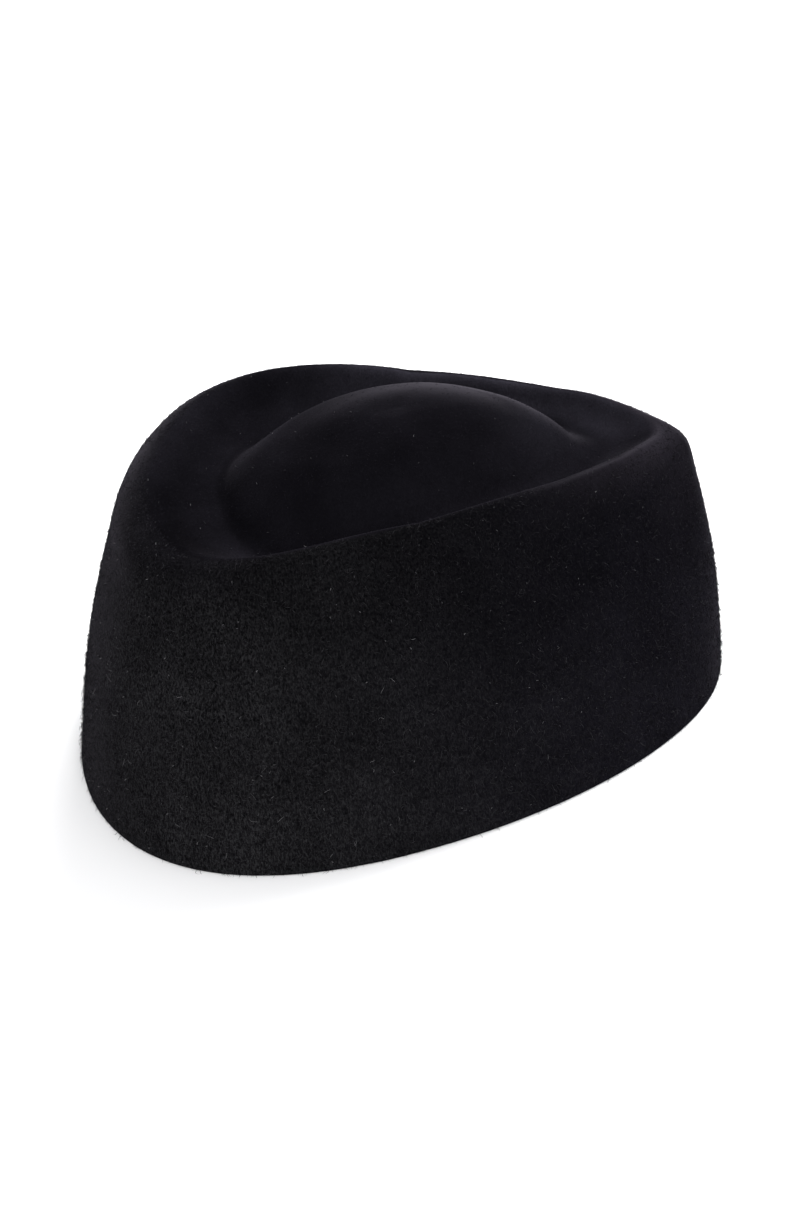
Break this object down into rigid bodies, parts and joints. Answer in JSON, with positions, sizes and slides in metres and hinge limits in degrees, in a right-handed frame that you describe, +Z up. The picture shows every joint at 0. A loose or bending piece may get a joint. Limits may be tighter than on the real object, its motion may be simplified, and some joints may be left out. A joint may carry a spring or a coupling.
{
  "type": "brimless teardrop felt hat",
  "caption": "Brimless felt hat of black velour, with a teardrop crest, a channel inside it and a raised dome",
  "frame": {"origin": "on the surface that the hat stands on, under the middle of its cut edge", "axes": "+Y towards the back of the head, -Y towards the pointed front, +X towards the wearer's left, +Z up"},
  "size_m": [0.1782, 0.2011, 0.0995],
  "materials": {
    "velour_felt": "black velour felt, matt with a short raised nap"
  },
  "bodies": {
    "root": {"felt_crown": "velour_felt"}
  },
  "joints": []
}
